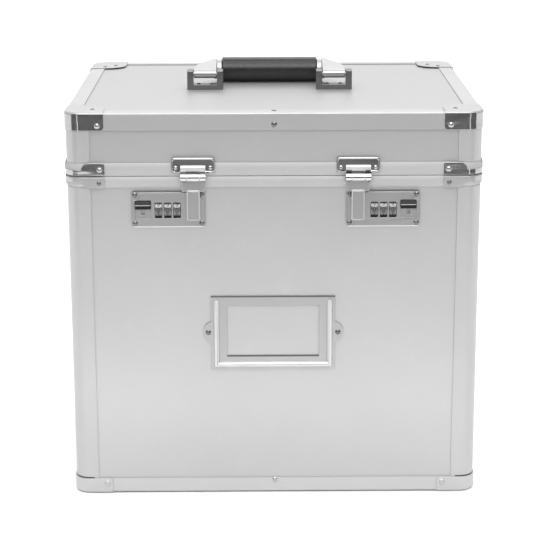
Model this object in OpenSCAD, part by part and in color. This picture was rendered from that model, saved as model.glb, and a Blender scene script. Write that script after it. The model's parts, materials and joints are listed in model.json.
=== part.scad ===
// Aluminium-framed carrying case with a top-opening lid, two combination latches,
// a folding lid handle and a foam insert for a drone and its accessories.
// Origin: middle of the base, on the plane that the case stands on. Front is -Y.

/* [Case] */
// Width over the flat side flanges
case_w = 355; // [340:1:370]
// Depth over the flat front and back flanges
case_d = 295.5; // [285:0.5:310]
// Height of the lid's top flange above the ground
case_h = 342.8; // [335:0.1:350]
// Height of the middle of the gap between body and lid
parting_z = 288.1; // [280:0.1:292]
// Gap between the two closed rims
parting_gap = 0.5; // [0.4:0.1:1.4]
// Thickness of the wall boards
board_t = 6.9; // [6:0.1:8]

/* [Frame] */
// Outer radius of the four upright corners
corner_r = 13.5; // [12:0.5:15]
// Thickness of the frame's flanges
flange_t = 1.2; // [1:0.1:1.6]
// Reach of an upright corner's flange from the case's side
post_reach = 21; // [18:0.5:24]
// Height of the bottom edge frame
bottom_rim_h = 13.2; // [11:0.1:15]
// Height of the lid's top edge frame
top_rim_h = 15.3; // [13:0.1:17]
// Height of the body's upper rim bead
body_rim_h = 9.6; // [8:0.1:11]
// Height of the lid's lower rim bead
lid_rim_h = 11.4; // [10:0.1:13]
// Bulge of the rim beads past the flanges
bead_out = 0.8; // [0.6:0.1:1.4]
// Height of the locating lip above the body's rim
lip_h = 5; // [3:0.5:6]

/* [Corner caps] */
// Sheet thickness of the corner caps
cap_t = 0.8; // [0.7:0.1:1.2]
// Reach of a cap along the front
cap_reach_x = 33.5; // [28:0.5:38]
// Reach of a front cap along the side
cap_reach_front = 35; // [28:0.5:38]
// Reach of a rear lid cap along the side
cap_reach_rear = 42; // [35:0.5:48]
// Head radius of the rivets
rivet_r = 2.7; // [2:0.1:3]
// Head height of the rivets
rivet_h = 1.1; // [0.8:0.1:1.5]

/* [Locks] */
// Distance of each lock's middle from the middle between the two locks
lock_x = 91.7; // [88:0.1:95]
// Sideways offset of both locks and latches
latch_shift = 1.2; // [-2:0.1:2]
// Height of the locks' middle
lock_z = 259.5; // [255:0.5:262]
// Width of a lock plate
lock_w = 63.6; // [62:0.1:66]
// Height of a lock plate
lock_h = 31.6; // [30:0.1:33]
// Spacing of the dials
dial_pitch = 7.9; // [7.7:0.1:8.1]
// Radius of the dials
dial_r = 8.5; // [8:0.1:9]
// Width of a dial
dial_w = 5.7; // [5:0.1:5.8]
// Travel of the release buttons
button_travel = 5.5; // [4:0.1:5.5]

/* [Latches] */
// Distance of each hasp's middle from the middle between the two latches
hasp_x = 70.2; // [68:0.1:71]
// Height of the hasps' hinge axis
hasp_axis_z = 287.7; // [287:0.1:288.4]
// Radius of the hasp and hinge knuckles
knuckle_r = 3.6; // [3.4:0.1:3.6]
// Width of the keeper plates
keeper_w = 37; // [34:0.1:38]
// Width of the hasps' tongues
tongue_w = 11.4; // [10:0.1:13]

/* [Label holder] */
// Sideways offset of the label holder
label_x = -1.3; // [-3:0.1:3]
// Height of the label holder's middle
label_z = 148.4; // [140:0.1:160]
// Width of the label holder
label_w = 108; // [100:1:115]
// Height of the label holder
label_h = 66.6; // [60:0.1:72]

/* [Handle] */
// Sideways offset of the handle
handle_x = -3; // [-4:0.1:4]
// Distance between the middles of the two brackets
bracket_gap = 117.4; // [116:0.2:119]
// Width of a bracket
bracket_w = 32.7; // [32:0.1:34]
// Height of a bracket
bracket_h = 17.6; // [16:0.1:20]
// Position of the handle's axis, front to back
handle_axis_y = -14.9; // [-20:0.1:-10]
// Height of the handle's axis above the lid board
handle_axis_h = 13.7; // [13:0.1:15]
// Distance from the axis to the middle of the grip
handle_reach = 41.8; // [40:0.1:48]
// Radius of the grip
grip_r = 11.5; // [10.5:0.1:11.8]
// Length of the grip
grip_l = 88; // [84:0.5:88]

/* [Hinges] */
// Width of each of the three back hinges
hinge_w = 46; // [40:1:55]
// Distance between neighbouring hinges
hinge_pitch = 110; // [100:1:120]

/* [Foam] */
// Height of the top of the foam insert
foam_top = 236; // [200:1:238]
// Thickness of the foam pad under the insert
foam_floor_t = 20; // [15:1:25]
// Clearance between foam and frame
foam_gap = 0.5; // [0.4:0.1:1]
// Thickness of the foam pad in the lid
lid_foam_t = 24; // [15:1:28]

/* [Hidden] */
half_w = case_w / 2;
half_d = case_d / 2;
run_x = half_w - corner_r;
run_y = half_d - corner_r;
seat = 0.05;
mitre_gap = 0.3;
board_out = -flange_t - seat;
board_in = -flange_t - board_t - seat;
inner_flange = -flange_t - board_t - 2 * seat;
rim_proud = 0.2;
rim_cap_t = 0.6;
ground_gap = cap_t + seat;
edge_r = 2.05;
bottom_rim_top = ground_gap + bottom_rim_h;
top_rim_low = case_h - top_rim_h;
body_top = parting_z - parting_gap / 2;
lid_low = parting_z + parting_gap / 2;
body_rim_low = body_top - body_rim_h;
lid_rim_top = lid_low + lid_rim_h;
web_t = 1.4;
flange_low_t = 1;
lip_t = 1.4;
lip_gap = 0.4;
lid_board_top = case_h - flange_low_t - seat;
bead_in = -0.4;
hardware_out = 7.8;
fastener_fn = 32;
axle_clear = 0.06;
fixed_clear = 0.02;
dial_axle_r = 1.5;
latch_pin_r = 1.25;
hinge_pin_r = 1.5;
handle_pin_r = 1.6;

plate_out = 0.4;
pad_out = 1.4;
pad_inset = 1.3;
window_w = 6.3;
window_h = 13.6;
window_dz = -0.8;
dial_du = 0.5;
dial_axis_out = pad_out + 1.2 - dial_r;
button_du = 21.7;
button_w = 13.2;
button_h = 7.6;
button_top = 7.4;
recess_floor = 0.2;
recess_h = 15.8;
stem_w = 2;
stem_h = 5;
shield_out = -1.5;
shield_in = -2;
shield_low = -5.6;
lock_case_w = 57;
lock_case_h = 26;
lock_case_back = -17;
lock_wall = 1;
carriage_w = 8;
carriage_low = 1.1;
carriage_top = 10;
carriage_in = -8;
spring_r = 2.2;
spring_wire = 0.35;
spring_turns = 6;

hasp_axis_out = hardware_out - knuckle_r;
barrel_w = 21.2;
mid_knuckle_w = 10.8;
knuckle_gap = 0.3;
neck_in = 1.7;
neck_out = 3.5;
neck_low = 275.4;
neck_w = 18.8;
tongue_in = 1.7;
tongue_out = 4.6;
tongue_low = 250;
keeper_low = 291.4;
keeper_top = 304.4;
keeper_out = 1.7;
keeper_bead = 1.6;
keeper_bead_h = 0.9;
staple_w = 5;
staple_z = 262;
staple_h = 6;
staple_in = 0.3;

hinge_axis_y = half_d + hasp_axis_out;
leaf_out = 1.8;
leaf_reach = 26;
hinge_xs = [-hinge_pitch, 0, hinge_pitch];

handle_axis_z = lid_board_top + handle_axis_h;
grip_z = lid_board_top + grip_r + 0.2;
grip_y = handle_axis_y + sqrt(pow(handle_reach, 2) - pow(handle_axis_z - grip_z, 2));
bracket_d = 12;
bracket_leg = 5.6;
bracket_floor = 4.6;
arm_w = 20.6;
arm_barrel_r = 3.8;
arm_plate_t = 2;
arm_slope = 6.6;
ferrule_w = 4.4;
ferrule_r = 9.8;
arm_side_gap = 0.4;

foam_corner_r = 16;
foam_out_x = half_w + inner_flange - flange_t - foam_gap;
foam_out_y = half_d + inner_flange - flange_t - foam_gap;
panel_low = ground_gap + flange_low_t + seat;
floor_z = panel_low + board_t + seat;
insert_z = floor_z + foam_floor_t;
// Wells in the foam insert: [left, front, width, depth front to back, depth down, corner radius]
WELLS = [
    [-150, 16, 222, 104, 110, 14],
    [90, 16, 60, 104, 80, 12],
    [-150, -120, 172, 116, 92, 14],
    [40, -120, 48, 116, 100, 10],
    [102, -120, 48, 116, 100, 10]
];

CAP_XY = [[-1, -1], [1, -1], [-1, 1], [1, 1]];

// ---- Shared shapes ----

// A box from its lowest corner to its highest corner
module block(low, high) {
    translate(low) cube(high - low);
}

// Runs the child profile along one side of the rounded frame and half way round its two corners.
// In the profile, x is the distance from the corner's centre and y is the height.
module rim_side(run, off) {
    translate([run, -off, 0]) rotate([90, 0, -90]) linear_extrude(2 * run) children();
    translate([run, -off, 0]) rotate([0, 0, -90])
        rotate_extrude(angle = 45 - mitre_gap, $fn = 96) children();
    translate([-run, -off, 0]) rotate([0, 0, mitre_gap - 135])
        rotate_extrude(angle = 45 - mitre_gap, $fn = 96) children();
}

// All four sides of a rounded frame, as four mitred strips
module rim_frame() {
    for (turn = [0, 180]) {
        rotate([0, 0, turn]) rim_side(run_x, run_y) children();
        rotate([0, 0, turn + 90]) rim_side(run_y, run_x) children();
    }
}

// Wall board of the front or back (along X) or of a side (along Y)
module wall_board(run, off, low, high) {
    block([-run + seat, -off - board_out, low], [run - seat, -off - board_in, high]);
}

// Plan of an upright corner extrusion, drawn for the corner at -X -Y with the corner at the origin
module post_plan() {
    module quarter(r) {
        intersection() {
            translate([corner_r, corner_r]) circle(r = r, $fn = 96);
            square(corner_r);
        }
    }
    difference() {
        union() {
            quarter(corner_r);
            translate([corner_r, 0]) square([post_reach - corner_r, flange_t]);
            translate([0, corner_r]) square([flange_t, post_reach - corner_r]);
            translate([corner_r, -inner_flange]) square([post_reach - corner_r, flange_t]);
            translate([-inner_flange, corner_r]) square([flange_t, post_reach - corner_r]);
        }
        translate([corner_r - 5, corner_r - 5]) circle(r = 2.5, $fn = fastener_fn);
    }
}

// Four upright corners between two heights
module posts(low, high) {
    for (s = CAP_XY)
        mirror([s[0] > 0 ? 1 : 0, 0, 0]) mirror([0, s[1] > 0 ? 1 : 0, 0])
            translate([-half_w, -half_d, low]) linear_extrude(high - low) post_plan();
}

// Profile of the convex bead of a rim, from its foot to its top
module bead_profile(low, high) {
    rise = bead_out - bead_in;
    chord = (high - low) / 2;
    bead_r = (chord * chord + rise * rise) / (2 * rise);
    intersection() {
        translate([corner_r - flange_t, low]) square([flange_t + bead_out, high - low]);
        translate([corner_r + bead_out - bead_r, (low + high) / 2]) circle(r = bead_r, $fn = 128);
    }
}

// Profile of the bottom edge frame; the top edge frame is this one turned over
module edge_profile(height, plate_t) {
    outer = corner_r + rim_proud;
    difference() {
        union() {
            translate([corner_r - flange_t, 0]) square([flange_t + rim_proud, height]);
            square([corner_r, plate_t]);
        }
        difference() {
            translate([outer - edge_r, 0]) square(edge_r);
            translate([outer - edge_r, edge_r]) circle(r = edge_r, $fn = 64);
        }
    }
}

// Profile of a corner cap over the bottom edge frame
module cap_profile(height) {
    outer = corner_r + rim_proud;
    corner = [outer - edge_r, edge_r];
    translate([outer + seat, edge_r]) square([cap_t, height - edge_r]);
    translate([0, -ground_gap]) square([corner[0], cap_t]);
    intersection() {
        translate([corner[0], -ground_gap]) square([edge_r + ground_gap, edge_r + ground_gap]);
        difference() {
            translate(corner) circle(r = edge_r + ground_gap, $fn = 64);
            translate(corner) circle(r = edge_r + seat, $fn = 64);
        }
    }
}

// Outline of a tab from the corner at the origin, with its far corner rounded
module round_tab(length, width, r) {
    union() {
        translate([-5, -5]) square([length - r + 5, width + 5]);
        translate([-5, -5]) square([length + 5, width - r + 5]);
        translate([length - r, width - r]) circle(r = r, $fn = 64);
    }
}

// Three-way corner cap for the corner at -X -Y, over an edge frame that starts at z = 0
module corner_cap(reach_x, reach_y, height, plate_r) {
    tip_r = 3;
    intersection() {
        translate([-half_w, -half_d, 0]) union() {
            translate([corner_r, corner_r, 0])
                rotate([0, 0, 180]) rotate_extrude(angle = 90, $fn = 96) cap_profile(height);
            translate([reach_x, corner_r, 0]) rotate([90, 0, -90])
                linear_extrude(reach_x - corner_r) cap_profile(height);
            translate([corner_r, corner_r, 0]) rotate([90, 0, 180])
                linear_extrude(reach_y - corner_r) cap_profile(height);
            block([corner_r, corner_r, -ground_gap], [reach_x, reach_y, -seat]);
        }
        translate([-half_w, -half_d, -5]) linear_extrude(height + 10)
            round_tab(reach_x, reach_y, plate_r);
        translate([-half_w, -half_d + reach_y + 5, 0]) rotate([90, 0, 0])
            linear_extrude(reach_y + 10) round_tab(reach_x, height, tip_r);
        translate([-half_w - 5, -half_d, 0]) rotate([90, 0, 90])
            linear_extrude(reach_x + 10) round_tab(reach_y, height, tip_r);
    }
}

// Two-way cap along a rim at one corner: it narrows to a waist where it rounds the corner
module rim_cap(height) {
    waist = 4.6;
    out = corner_r + bead_out + seat;
    leg = cap_reach_x - corner_r;
    tip_r = 2.5;
    sweep = 6;
    module waist_band() {
        translate([out, 0]) square([rim_cap_t, waist]);
    }
    module leg_plan() {
        difference() {
            square([leg, height]);
            translate([leg - tip_r, height - tip_r]) square(tip_r + 1);
            translate([-1, waist]) square([sweep + 1, height]);
        }
        translate([leg - tip_r, height - tip_r]) circle(r = tip_r, $fn = 48);
        intersection() {
            translate([sweep, waist]) circle(r = height - waist, $fn = 64);
            square([sweep, height]);
        }
    }
    translate([-run_x, -run_y, 0]) rotate([0, 0, 180])
        rotate_extrude(angle = 90, $fn = 96) waist_band();
    translate([-run_x, -run_y - out, 0]) rotate([90, 0, 0]) linear_extrude(rim_cap_t) leg_plan();
    translate([-run_x - out, -run_y, 0]) rotate([90, 0, 90]) mirror([0, 0, 1])
        linear_extrude(rim_cap_t) leg_plan();
}

// Domed rivet head standing on the XY plane
module rivet(r = rivet_r) {
    dome_r = (r * r + rivet_h * rivet_h) / (2 * rivet_h);
    intersection() {
        translate([0, 0, rivet_h - dome_r]) sphere(r = dome_r, $fn = fastener_fn);
        cylinder(r = r, h = rivet_h, $fn = fastener_fn);
    }
}

// Rivet on the front (turn 0), right (90), back (180) or left (270) face
module wall_rivet(pos, out, turn = 0, r = rivet_r) {
    off = (turn % 180 == 0 ? half_d : half_w) + out;
    rotate([0, 0, turn]) translate([pos[0], -off, pos[1]]) rotate([90, 0, 0]) rivet(r);
}

// Places a child drawn for the left (-X) side, or mirrors it to the right side
module side(s) {
    mirror([s > 0 ? 1 : 0, 0, 0]) children();
}

// The same for the locks and latches, with their sideways offset
module latch_side(s) {
    translate([latch_shift, 0, 0]) side(s) children();
}

// Box on the front face: x range, outward range and height range; outward is towards -Y
module front_block(x, out, z) {
    block([x[0], -half_d - out[1], z[0]], [x[1], -half_d - out[0], z[1]]);
}

// Cylinder along X, centred on x
module bar_x(x, y, z, r, length, fn = 64) {
    translate([x - length / 2, y, z]) rotate([0, 90, 0]) cylinder(r = r, h = length, $fn = fn);
}

// ---- Body ----

module front_panel() {
    color("gainsboro") difference() {
        wall_board(run_x, half_d, panel_low, body_top - web_t - seat);
        for (s = [-1, 1])
            translate([latch_shift + s * lock_x, 0, 0])
                front_block([-lock_case_w / 2 - seat, lock_case_w / 2 + seat], [board_in - 1, board_out + 1],
                    [lock_z - lock_case_h / 2 - seat, lock_z + lock_case_h / 2 + seat]);
    }
}

module back_panel() {
    color("gainsboro") rotate([0, 0, 180])
        wall_board(run_x, half_d, panel_low, body_top - web_t - seat);
}

module left_panel() {
    color("gainsboro") rotate([0, 0, -90])
        wall_board(run_y, half_w, panel_low, body_top - web_t - seat);
}

module right_panel() {
    color("gainsboro") rotate([0, 0, 90])
        wall_board(run_y, half_w, panel_low, body_top - web_t - seat);
}

module bottom_panel() {
    x = half_w + inner_flange;
    y = half_d + inner_flange;
    color("gainsboro") block([-x, -y, panel_low], [x, y, floor_z - seat]);
}

module corner_posts() {
    color("silver") posts(bottom_rim_top + seat, body_rim_low - seat);
}

module bottom_rim() {
    color("silver") translate([0, 0, ground_gap]) rim_frame() edge_profile(bottom_rim_h, flange_low_t);
}

module body_rim() {
    inner = corner_r + inner_flange;
    lip_out = inner - flange_t - lip_gap;
    color("silver") difference() {
        rim_frame() {
            union() {
                bead_profile(body_rim_low, body_top);
                translate([lip_out - lip_t, body_top - web_t])
                    square([corner_r - flange_t - lip_out + lip_t, web_t]);
                translate([inner - flange_t, body_rim_low]) square([flange_t, body_rim_h]);
                translate([lip_out - lip_t, body_top - web_t]) square([lip_t, web_t + lip_h]);
            }
        }
        hinge_notches(body_rim_low - 1, body_top + 0.2);
    }
}

// Flat pockets in the back rims, where the hinge leaves lie
module hinge_notches(low, high) {
    for (x = hinge_xs)
        block([x - hinge_w / 2 - 0.2, half_d, low], [x + hinge_w / 2 + 0.2, half_d + 5, high]);
}

module bottom_corner_caps() {
    color("gray") for (s = CAP_XY)
        mirror([s[0] > 0 ? 1 : 0, 0, 0]) mirror([0, s[1] > 0 ? 1 : 0, 0])
            translate([0, 0, ground_gap]) corner_cap(cap_reach_x, cap_reach_front, bottom_rim_h, 14);
}

module body_rim_caps() {
    color("gray") for (s = CAP_XY)
        mirror([s[0] > 0 ? 1 : 0, 0, 0]) mirror([0, s[1] > 0 ? 1 : 0, 0])
            translate([0, 0, body_top - 0.6]) mirror([0, 0, 1]) rim_cap(body_rim_h - 0.4);
}

module body_rivets() {
    cap_x = half_w - 28.5;
    cap_y = half_d - 29.5;
    edge_out = rim_proud + seat + cap_t;
    rim_out = bead_out + seat + rim_cap_t;
    low_z = ground_gap + bottom_rim_h / 2 + 1.7;
    color("lightgray") {
        for (s = [-1, 1]) {
            for (turn = [0, 180]) {
                wall_rivet([s * cap_x, low_z], edge_out, turn, 2.9);
                wall_rivet([s * cap_x, body_top - 5.4], rim_out, turn, 2);
            }
            for (turn = [90, 270]) {
                wall_rivet([s * cap_y, low_z], edge_out, turn, 2.9);
                wall_rivet([s * cap_y, body_top - 5.4], rim_out, turn, 2);
            }
            wall_rivet([label_x + s * (label_w / 2 + 2.4), label_z + 1], 0.2, 0, 2.4);
        }
        wall_rivet([0, bottom_rim_top - 2], rim_proud, 0, 2.4);
        for (x = hinge_xs)
            for (dx = [-1, 1])
                wall_rivet([x + dx * hinge_w / 3, body_rim_low - 10], leaf_out, 180, 2.4);
    }
}

module label_holder() {
    frame_out = -flange_t;
    lip_r = 2.5;
    lip_out = 0.2;
    lip_inset = 4.8;
    side_w = 14;
    foot_h = 13;
    head_h = 8.3;
    ear_r = 10;
    x = label_w / 2;
    z = label_h / 2;
    module at_label() {
        translate([label_x, -half_d, label_z]) children();
    }
    // Flat strip on the panel between two corners of the frame
    module strip(a, b) {
        block([a[0], -lip_out, a[1]], [b[0], -frame_out, b[1]]);
    }
    // Rolled lip: half of a round bar lying on the frame, within an outline that mitres its ends
    module lip(start, length, turn, outline) {
        intersection() {
            translate([start[0], -lip_out, start[1]]) rotate([0, turn, 0])
                cylinder(r = lip_r, h = length, $fn = 48);
            translate([0, -lip_out, 0]) rotate([90, 0, 0]) linear_extrude(lip_r + 1) polygon(outline);
        }
    }
    lip_x = x - lip_inset;
    lip_z = -z + lip_inset;
    out_z = lip_z - lip_r;
    in_z = lip_z + lip_r;
    end_z = z - 3;
    color("silver") at_label() difference() {
        union() {
            strip([-x, -z], [-x + side_w, z]);
            strip([x - side_w, -z], [x, z]);
            strip([-x + side_w, -z], [x - side_w, -z + foot_h]);
            strip([-x + side_w, z - head_h], [x - side_w, z]);
            for (s = [-1, 1])
                lip([s * lip_x, out_z - 1], label_h, 0, [[s * (lip_x + lip_r), out_z],
                    [s * (lip_x + lip_r), end_z], [s * (lip_x - lip_r), end_z], [s * (lip_x - lip_r), in_z]]);
            lip([-x, lip_z], label_w, 90, [[-lip_x - lip_r, out_z], [lip_x + lip_r, out_z],
                [lip_x - lip_r, in_z], [-lip_x + lip_r, in_z]]);
            for (s = [-1, 1])
                translate([s * (x - 3), -frame_out, 1]) rotate([90, 0, 0])
                    cylinder(r = ear_r, h = -frame_out + lip_out, $fn = 64);
        }
        // Slot that holds the label's lower edge
        block([-x + side_w, -lip_out - 1, -z + foot_h - 0.9], [x - side_w, -lip_out + 0.6, -z + foot_h + 1]);
    }
}

// ---- Locks, drawn for the left side in plain X and mirrored for the right side ----

// Outline of a lock plate, in X and Z about its middle
module rounded_outline(w, h, r) {
    union() {
        translate([-w / 2 + r, -h / 2]) square([w - 2 * r, h]);
        translate([-w / 2, -h / 2 + r]) square([w, h - 2 * r]);
        for (sx = [-1, 1])
            for (sz = [-1, 1])
                translate([sx * (w / 2 - r), sz * (h / 2 - r)]) circle(r = r, $fn = 48);
    }
}

// Extrudes a front-view outline between two outward distances, about a lock's middle
module lock_slab(inner, outer) {
    translate([-lock_x, -half_d - inner, lock_z]) rotate([90, 0, 0])
        linear_extrude(outer - inner) children();
}

// Local position of dial n, counted from the button's side
function dial_u(n) = -dial_du - dial_pitch * (2 - n);

module lock_plate() {
    rivet_dx = lock_w / 2 - 3.2;
    rivet_dz = lock_h / 2 - 3.4;
    color("silver") difference() {
        union() {
            lock_slab(-flange_t, plate_out) rounded_outline(lock_w, lock_h, 3.2);
            lock_slab(plate_out, pad_out) difference() {
                rounded_outline(lock_w - 2 * pad_inset, lock_h - 2 * pad_inset, 1.5);
                for (sx = [-1, 1])
                    for (sz = [-1, 1])
                        translate([sx * rivet_dx, sz * rivet_dz]) circle(r = 4.2, $fn = 48);
            }
        }
        for (n = [1:3]) {
            lock_slab(-flange_t - 1, pad_out + 1) translate([dial_u(n), window_dz])
                rounded_outline(window_w, window_h, 1);
            lock_slab(-flange_t - 1, recess_floor) translate([dial_u(n), window_dz])
                square([window_w, window_h + 2], center = true);
        }
        lock_slab(recess_floor, pad_out + 1)
            translate([-button_du, button_top + 0.4 - recess_h / 2])
                rounded_outline(button_w + 0.6, recess_h, 1);
        lock_slab(-flange_t - 1, pad_out + 1)
            translate([-button_du, button_top - (button_h + button_travel) / 2])
                square([stem_w + 0.6, stem_h + button_travel + 0.6], center = true);
        front_block([-hasp_x - staple_w / 2 - 0.6, -hasp_x + staple_w / 2 + 0.6],
            [staple_in - 0.2, pad_out + 1], [staple_z - staple_h / 2 - 1.2, lock_z + lock_h]);
    }
    color("lightgray") for (sx = [-1, 1])
        for (sz = [-1, 1])
            translate([-lock_x + sx * rivet_dx, -half_d - plate_out, lock_z + sz * rivet_dz])
                rotate([90, 0, 0]) rivet(2.3);
}

module lock_case() {
    w = lock_case_w / 2;
    h = lock_case_h / 2;
    color("dimgray") translate([-lock_x, -half_d, lock_z]) difference() {
        block([-w, flange_t + seat, -h], [w, -lock_case_back, h]);
        block([-w + lock_wall, 0, -h + lock_wall],
            [w - lock_wall, -lock_case_back - lock_wall, h - lock_wall]);
    }
}

// Carrier walls and axle of the three dials
module dial_axle() {
    length = 3 * dial_pitch + 2;
    color("silver") union() {
        bar_x(-lock_x + dial_u(2), -half_d - dial_axis_out, lock_z + window_dz, dial_axle_r, length, 48);
        for (end = [-1, 1])
            translate([-lock_x + dial_u(2) + end * length / 2, -half_d - dial_axis_out, lock_z + window_dz])
                block([-0.6, -4, -3], [0.6, -lock_case_back + dial_axis_out - lock_wall, 3]);
    }
}

module dial(n) {
    c = [-lock_x + dial_u(n), -half_d - dial_axis_out, lock_z + window_dz];
    color("gainsboro") difference() {
        union() {
            bar_x(c[0], c[1], c[2], dial_r, dial_w - 2.4, 10);
            for (s = [-1, 1])
                bar_x(c[0] + s * (dial_w - 1.2) / 2, c[1], c[2], dial_r - 0.4, 1.2, 64);
        }
        bar_x(c[0], c[1], c[2], dial_axle_r + axle_clear, dial_w + 2, 48);
    }
}

// Release button with its stem and carriage
module release_button() {
    low = button_top - button_h;
    stem_mid = button_top - button_h / 2;
    color("black") translate([-lock_x - button_du, -half_d, lock_z]) union() {
        translate([-button_w / 2, 0, 0]) rotate([90, 0, 90]) linear_extrude(button_w)
            polygon([[-recess_floor - 0.3, button_top], [-1.2, button_top], [-3.4, low + 3.9],
                [-2.9, low + 0.6], [-recess_floor - 0.3, low]]);
        block([-stem_w / 2, -recess_floor - 0.4, stem_mid - stem_h / 2],
            [stem_w / 2, -shield_out + 0.1, stem_mid + stem_h / 2]);
        block([-carriage_w / 2, -shield_out, shield_low], [carriage_w / 2, -shield_in, carriage_top]);
        block([-carriage_w / 2 + 1, -shield_in - 0.1, carriage_low],
            [carriage_w / 2 - 1, -carriage_in, carriage_top]);
    }
}

// Points of one ring of the spring's wire, at turn fraction t
function spring_ring(t, low, high, sides) = let(a = 360 * spring_turns * t, z = low + (high - low) * t)
    [for (k = [0:sides - 1]) let(b = 360 * k / sides, r = spring_r + spring_wire * cos(b))
        [r * cos(a), r * sin(a), z + spring_wire * sin(b)]];

module button_spring() {
    sides = 6;
    steps = 12 * spring_turns;
    top = carriage_low - 2 * spring_wire;
    bottom = -lock_case_h / 2 + lock_wall + 2 * spring_wire;
    rings = [for (i = [0:steps]) spring_ring(i / steps, bottom, top, sides)];
    points = [for (ring = rings) for (p = ring) p];
    skin = [for (i = [0:steps - 1]) for (k = [0:sides - 1])
        let(a = i * sides + k, b = i * sides + (k + 1) % sides) [a, a + sides, b + sides, b]];
    ends = [[for (k = [0:sides - 1]) k], [for (k = [sides - 1:-1:0]) steps * sides + k]];
    color("silver") translate([-lock_x - button_du, -half_d - (shield_in + carriage_in) / 2, lock_z])
        polyhedron(points, concat(skin, ends));
}

module lock_plate_left() { latch_side(-1) lock_plate(); }
module lock_plate_right() { latch_side(1) lock_plate(); }
module lock_case_left() { latch_side(-1) lock_case(); }
module lock_case_right() { latch_side(1) lock_case(); }
module dial_axle_left() { latch_side(-1) dial_axle(); }
module dial_axle_right() { latch_side(1) dial_axle(); }
module button_spring_left() { latch_side(-1) button_spring(); }
module button_spring_right() { latch_side(1) button_spring(); }
module release_button_left() { latch_side(-1) release_button(); }
module release_button_right() { latch_side(1) release_button(); }

// ---- Back hinges ----

// One leaf plate with its knuckles; up is 1 for the lid's leaf and -1 for the body's
module hinge_leaf(up, knuckles) {
    seg = hinge_w / 5;
    rim_end = up > 0 ? lid_rim_top : body_rim_low;
    edge = parting_z + up * (knuckle_r + 0.6);
    end = parting_z + up * leaf_reach;
    z = [min(edge, end), max(edge, end)];
    pad = [min(rim_end + up * seat, end), max(rim_end + up * seat, end)];
    for (x = hinge_xs)
        difference() {
            union() {
                block([x - hinge_w / 2, half_d + seat, z[0]], [x + hinge_w / 2, half_d + leaf_out, z[1]]);
                block([x - hinge_w / 2, half_d - flange_t, pad[0]],
                    [x + hinge_w / 2, half_d + seat + 0.1, pad[1]]);
                for (k = knuckles) {
                    mid = x + (k - 2) * seg;
                    bar_x(mid, hinge_axis_y, parting_z, knuckle_r, seg - knuckle_gap, 64);
                    block([mid - (seg - knuckle_gap) / 2, half_d + seat, min(parting_z, edge + up * 0.1)],
                        [mid + (seg - knuckle_gap) / 2, half_d + leaf_out, max(parting_z, edge + up * 0.1)]);
                }
            }
            bar_x(x, hinge_axis_y, parting_z,
                hinge_pin_r + (up > 0 ? axle_clear : fixed_clear), hinge_w + 2, 48);
        }
}

module hinge_leaf_lower() { color("silver") hinge_leaf(-1, [0, 2, 4]); }
module hinge_leaf_upper() { color("silver") hinge_leaf(1, [1, 3]); }

module hinge_pins() {
    color("gray") for (x = hinge_xs)
        bar_x(x, hinge_axis_y, parting_z, hinge_pin_r, hinge_w, 48);
}

// ---- Foam ----

// Foam slab between two heights, with corners rounded to clear the upright corners
module foam_slab(low, high) {
    translate([0, 0, low]) linear_extrude(high - low)
        rounded_outline(2 * foam_out_x, 2 * foam_out_y, foam_corner_r);
}

module foam_floor_pad() {
    color("darkslategray") foam_slab(floor_z, insert_z - seat);
}

module foam_insert() {
    color("darkslategray") difference() {
        foam_slab(insert_z, foam_top);
        for (w = WELLS)
            translate([w[0] + w[2] / 2, w[1] + w[3] / 2, foam_top - w[4]])
                linear_extrude(w[4] + 1) rounded_outline(w[2], w[3], w[5]);
    }
}

// ---- Lid ----

module lid_front_panel() {
    color("gainsboro") wall_board(run_x, half_d, lid_low + web_t + seat, lid_board_top);
}

module lid_back_panel() {
    color("gainsboro") rotate([0, 0, 180])
        wall_board(run_x, half_d, lid_low + web_t + seat, lid_board_top);
}

module lid_left_panel() {
    color("gainsboro") rotate([0, 0, -90])
        wall_board(run_y, half_w, lid_low + web_t + seat, lid_board_top);
}

module lid_right_panel() {
    color("gainsboro") rotate([0, 0, 90])
        wall_board(run_y, half_w, lid_low + web_t + seat, lid_board_top);
}

module lid_top_panel() {
    x = half_w + inner_flange;
    y = half_d + inner_flange;
    color("whitesmoke") block([-x, -y, lid_board_top - board_t], [x, y, lid_board_top]);
}

module lid_corner_posts() {
    color("silver") posts(lid_rim_top + seat, top_rim_low - seat);
}

module lid_top_rim() {
    color("silver") translate([0, 0, case_h]) mirror([0, 0, 1])
        rim_frame() edge_profile(top_rim_h, flange_low_t);
}

module lid_lower_rim() {
    inner = corner_r + inner_flange;
    color("silver") difference() {
        rim_frame() {
            union() {
                bead_profile(lid_low, lid_rim_top);
                translate([inner - flange_t, lid_low])
                    square([corner_r - flange_t - inner + flange_t, web_t]);
                translate([inner - flange_t, lid_low]) square([flange_t, lid_rim_h]);
            }
        }
        hinge_notches(lid_low - 0.2, lid_rim_top + 1);
        for (s = [-1, 1])
            translate([latch_shift + s * hasp_x, 0, 0])
                front_block([-keeper_w / 2 - 0.2, keeper_w / 2 + 0.2], [0, 5],
                    [keeper_low - 0.2, lid_rim_top + 1]);
    }
}

module lid_corner_caps() {
    color("gray") for (s = CAP_XY)
        mirror([s[0] > 0 ? 1 : 0, 0, 0]) mirror([0, s[1] > 0 ? 1 : 0, 0])
            translate([0, 0, case_h]) mirror([0, 0, 1])
                corner_cap(cap_reach_x, s[1] < 0 ? cap_reach_front : cap_reach_rear, top_rim_h, 18);
}

module lid_rim_caps() {
    color("gray") for (s = CAP_XY)
        mirror([s[0] > 0 ? 1 : 0, 0, 0]) mirror([0, s[1] > 0 ? 1 : 0, 0])
            translate([0, 0, lid_low + 0.6]) rim_cap(lid_rim_h - 0.8);
}

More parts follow.
